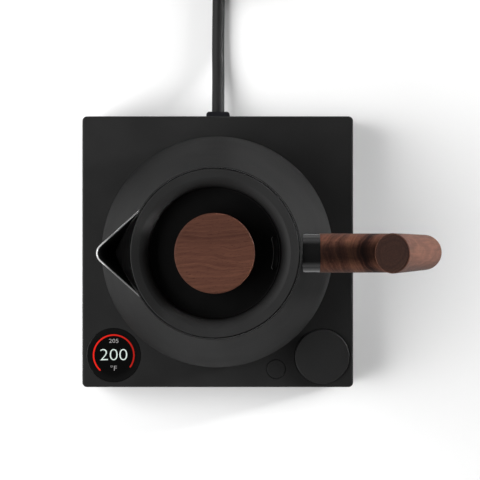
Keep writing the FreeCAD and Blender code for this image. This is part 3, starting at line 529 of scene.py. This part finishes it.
def coil_stage(angle):
    """Radius and height of the cord's middle at an angle wound round the coil, in mm."""
    stops = [
        (0, COIL_OUTER, FLOOR_LAYER), (270, COIL_OUTER, FLOOR_LAYER),
        (340, COIL_INNER, FLOOR_LAYER), (585, COIL_INNER, FLOOR_LAYER),
        (665, COIL_INNER, 12.0), (720, COIL_UPPER, 12.5), (740, COIL_UPPER, UPPER_LAYER),
        (870, COIL_UPPER, UPPER_LAYER), (COIL_TURN, 43.0, 16.0),
    ]
    for (a0, r0, z0), (a1, r1, z1) in zip(stops, stops[1:]):
        if angle <= a1:
            share = (angle - a0) / (a1 - a0)
            return r0 + (r1 - r0) * share, z0 + (z1 - z0) * share
    raise ValueError("angle past the end of the coil")


def cord_points():
    """Control points from the gland, straight back, round the coil and out to the plug, in mm."""
    points = [
        (0.0, 82.75, 12.0), (0.0, 96.5, 12.0), (0.1, 113.0, 6.6), (-0.2, 133.0, 4.3),
        (0.3, 165.0, 4.1), (0.0, 192.0, 4.0), (0.0, 213.0, 4.0),
    ]
    inside = math.cos(math.pi / POINTS_PER_TURN)
    step = 360.0 / POINTS_PER_TURN
    angle = step / 2
    while angle < COIL_TURN:
        radius, height = coil_stage(angle)
        t = math.radians(angle)
        reach = radius / inside
        points.append((COIL_AT[0] + reach * math.cos(t), COIL_AT[1] + reach * math.sin(t), height))
        angle += step
    points += [
        (-33.0, 183.6, 16.5), (-22.0, 183.0, 16.0), (-9.0, 184.5, 13.5), (9.0, 184.6, 12.5),
        (25.0, 186.0, 9.2), (38.0, 186.0, 9.2),
    ]
    return points


def make_cord():
    curve = bpy.data.curves.new("power_cord_line", "CURVE")
    curve.dimensions = "3D"
    spline = curve.splines.new("NURBS")
    points = cord_points()
    spline.points.add(len(points) - 1)
    for slot, (x, y, z) in zip(spline.points, points):
        slot.co = (x * MM, y * MM, z * MM, 1.0)
    spline.order_u = 3
    spline.use_endpoint_u = True
    spline.resolution_u = 8
    curve.bevel_depth = CORD_R
    curve.bevel_resolution = 8
    curve.use_fill_caps = True
    cord = bpy.data.objects.new("power_cord_sheath", curve)
    bpy.context.collection.objects.link(cord)
    look = grained("cord_sheath", grey(0.0120), grey(0.0165), 0.50, grain=1800.0, depth=0.00001,
                   specular=0.10)
    curve.materials.append(look.material)
    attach(cord, "base")
    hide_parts("power_cord", "cord_tail", "cord_coil")
    make_cord_tie()


def make_cord_tie():
    """Soft band drawn round the coil's three strands, flat where it lies under them."""
    strands = [(COIL_OUTER, FLOOR_LAYER), (COIL_UPPER, UPPER_LAYER), (COIL_INNER, FLOOR_LAYER)]
    section = [
        (TIE_INSIDE, TIE_INSIDE_FLOOR, -TIE_HALF_WIDTH),
        (TIE_OUTSIDE, TIE_OUTSIDE_FLOOR, -TIE_HALF_WIDTH),
        (TIE_OUTSIDE, TIE_OUTSIDE_FLOOR, TIE_HALF_WIDTH),
        (TIE_INSIDE, TIE_INSIDE_FLOOR, TIE_HALF_WIDTH),
    ]
    turn = math.radians(TIE_ANGLE)
    verts = []
    for corner, (radius, height) in enumerate(strands):
        for i in range(TIE_STEPS + 1):
            t = math.radians(-90 + 120 * (corner + i / TIE_STEPS))
            for reach, floor, side in section:
                out = radius + reach * math.cos(t)
                up = max(height + reach * math.sin(t), floor)
                verts.append(((COIL_AT[0] + out * math.cos(turn) - side * math.sin(turn)) * MM,
                              (COIL_AT[1] + out * math.sin(turn) + side * math.cos(turn)) * MM,
                              up * MM))
    faces = []
    sides = len(section)
    for at in range(0, len(verts), sides):
        after = (at + sides) % len(verts)
        for k in range(sides):
            beside = (k + 1) % sides
            faces.append((at + k, at + beside, after + beside, after + k))
    mesh = bpy.data.meshes.new("cord_tie")
    mesh.from_pydata(verts, [], faces)
    made = bmesh.new()
    made.from_mesh(mesh)
    bmesh.ops.recalc_face_normals(made, faces=made.faces[:])
    made.to_mesh(mesh)
    made.free()
    tie = bpy.data.objects.new("cord_tie", mesh)
    bpy.context.collection.objects.link(tie)
    look = grained("tie_weave", grey(0.012), grey(0.026), 0.80, grain=1500.0, depth=0.00006,
                   specular=0.1)
    mesh.materials.append(look.material)
    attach(tie, "base")
    return tie


# ---------------------------------------------------------------- display graphics
NUMERALS_OVER = 0.00003          # over the lens
GAUGE_OVER = 0.00001
GAUGE_THICK = 0.00003
GAUGE_RADIUS = 0.01277
GAUGE_HALF = 0.00048             # half its line's width
GAUGE_FIRST, GAUGE_LAST = math.radians(-35), math.radians(227)
GAUGE_STEPS, CAP_STEPS = 96, 12


def flat_piece(name, mesh, look, height):
    piece = bpy.data.objects.new(name, mesh)
    bpy.context.collection.objects.link(piece)
    piece.location = (DISPLAY_CENTRE.x, DISPLAY_CENTRE.y, DISPLAY_TOP + height)
    mesh.materials.clear()
    mesh.materials.append(look.material)
    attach(piece, "base")
    return piece


def make_numerals(name, text, cap_height, width, rise, look, thinner=0.0):
    """Flat numerals of that height and width, in metres, centred rise above the middle, their
    strokes pared by a share of the letter size."""
    curve = bpy.data.curves.new(name + "_text", "FONT")
    curve.body = text
    curve.resolution_u = 6
    curve.offset = -thinner
    maker = bpy.data.objects.new(name + "_text", curve)
    bpy.context.collection.objects.link(maker)
    bpy.context.view_layer.update()
    mesh = bpy.data.meshes.new_from_object(maker)
    bpy.data.objects.remove(maker)
    xs = [v.co.x for v in mesh.vertices]
    ys = [v.co.y for v in mesh.vertices]
    across, tall = max(xs) - min(xs), max(ys) - min(ys)
    for v in mesh.vertices:
        v.co.x = (v.co.x - min(xs) - across / 2) * width / across
        v.co.y = (v.co.y - min(ys) - tall / 2) * cap_height / tall + rise
    return flat_piece(name, mesh, look, NUMERALS_OVER)


def arc(centre, radius, start, sweep, steps):
    """Points along an arc, with both its ends."""
    points = []
    for i in range(steps + 1):
        t = start + sweep * i / steps
        points.append((centre[0] + radius * math.cos(t), centre[1] + radius * math.sin(t)))
    return points


def make_gauge(look):
    """Red gauge arc with rounded ends, open at the bottom."""
    middle = (0.0, 0.0)
    first_end = (GAUGE_RADIUS * math.cos(GAUGE_FIRST), GAUGE_RADIUS * math.sin(GAUGE_FIRST))
    last_end = (GAUGE_RADIUS * math.cos(GAUGE_LAST), GAUGE_RADIUS * math.sin(GAUGE_LAST))
    sweep = GAUGE_LAST - GAUGE_FIRST
    outline = arc(middle, GAUGE_RADIUS + GAUGE_HALF, GAUGE_FIRST, sweep, GAUGE_STEPS)
    outline += arc(last_end, GAUGE_HALF, GAUGE_LAST, math.pi, CAP_STEPS)[1:-1]
    outline += arc(middle, GAUGE_RADIUS - GAUGE_HALF, GAUGE_FIRST, sweep, GAUGE_STEPS)[::-1]
    outline += arc(first_end, GAUGE_HALF, GAUGE_FIRST + math.pi, math.pi, CAP_STEPS)[1:-1]
    made = bmesh.new()
    face = made.faces.new([made.verts.new((x, y, 0.0)) for x, y in outline])
    raised = bmesh.ops.extrude_face_region(made, geom=[face])["geom"]
    for v in raised:
        if isinstance(v, bmesh.types.BMVert):
            v.co.z += GAUGE_THICK
    bmesh.ops.triangulate(made, faces=made.faces[:])
    bmesh.ops.recalc_face_normals(made, faces=made.faces[:])
    mesh = bpy.data.meshes.new("gauge_arc")
    made.to_mesh(mesh)
    made.free()
    return flat_piece("gauge_arc", mesh, look, GAUGE_OVER)


def make_display():
    white = lit("numeral_white", (0.80, 0.92, 0.86), 1.0)
    soft = lit("numeral_grey", (0.42, 0.40, 0.40), 1.0, 0.3)
    red = lit("gauge_red", (0.88, 0.016, 0.007), 1.0, right_side=0.50)
    make_numerals("numerals_now", "200", cap_height=0.0071, width=0.0171, rise=0.00035,
                  look=white, thinner=0.016)
    make_numerals("numerals_set", "205", cap_height=0.0025, width=0.0060, rise=0.0091, look=soft)
    make_numerals("numerals_unit", "°F", cap_height=0.0032, width=0.0040, rise=-0.0081,
                  look=soft, thinner=0.006)
    make_gauge(red)


# ---------------------------------------------------------------- build
make_camera()
make_lights()
make_floor()
dress(make_materials())
make_cord()
make_display()
